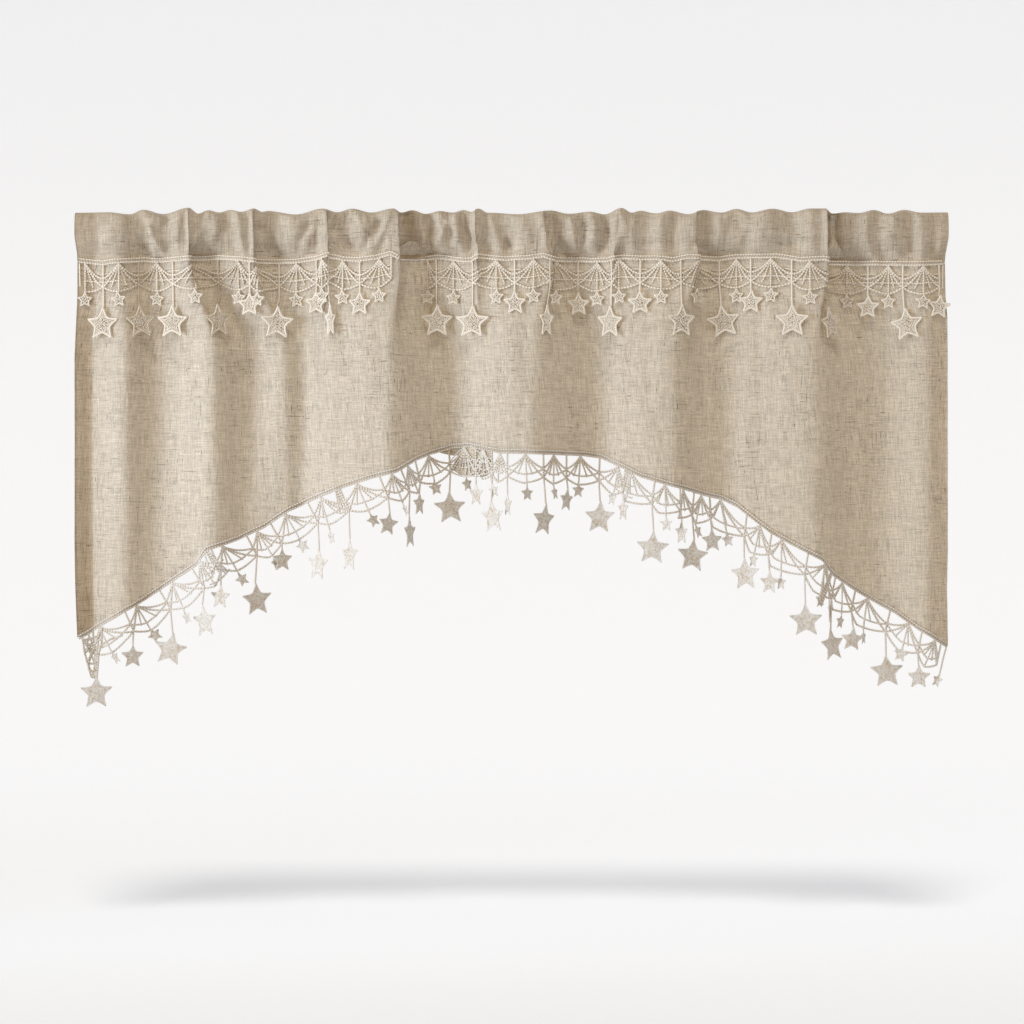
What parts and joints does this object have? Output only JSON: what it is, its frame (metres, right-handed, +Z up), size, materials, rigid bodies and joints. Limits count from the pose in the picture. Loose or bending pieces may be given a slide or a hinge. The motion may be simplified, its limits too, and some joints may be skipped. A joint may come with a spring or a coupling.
{
  "type": "linen valance curtain",
  "caption": "Gathered linen valance curtain with an empty rod pocket, an arched lower edge and star lace on its seam and edge.",
  "frame": {"origin": "middle of the top edge of the rod pocket", "axes": "+X along the rod to the viewer's right, +Z up, the lace faces -Y"},
  "size_m": [1.0981, 0.0613, 0.6166],
  "materials": {
    "linen": "matt, slubbed plain weave",
    "lace": "matt cotton cord and net"
  },
  "bodies": {
    "root": {"rod_pocket": "linen", "linen_panel": "linen", "upper_lace": "lace", "lower_lace": "lace"}
  },
  "joints": []
}
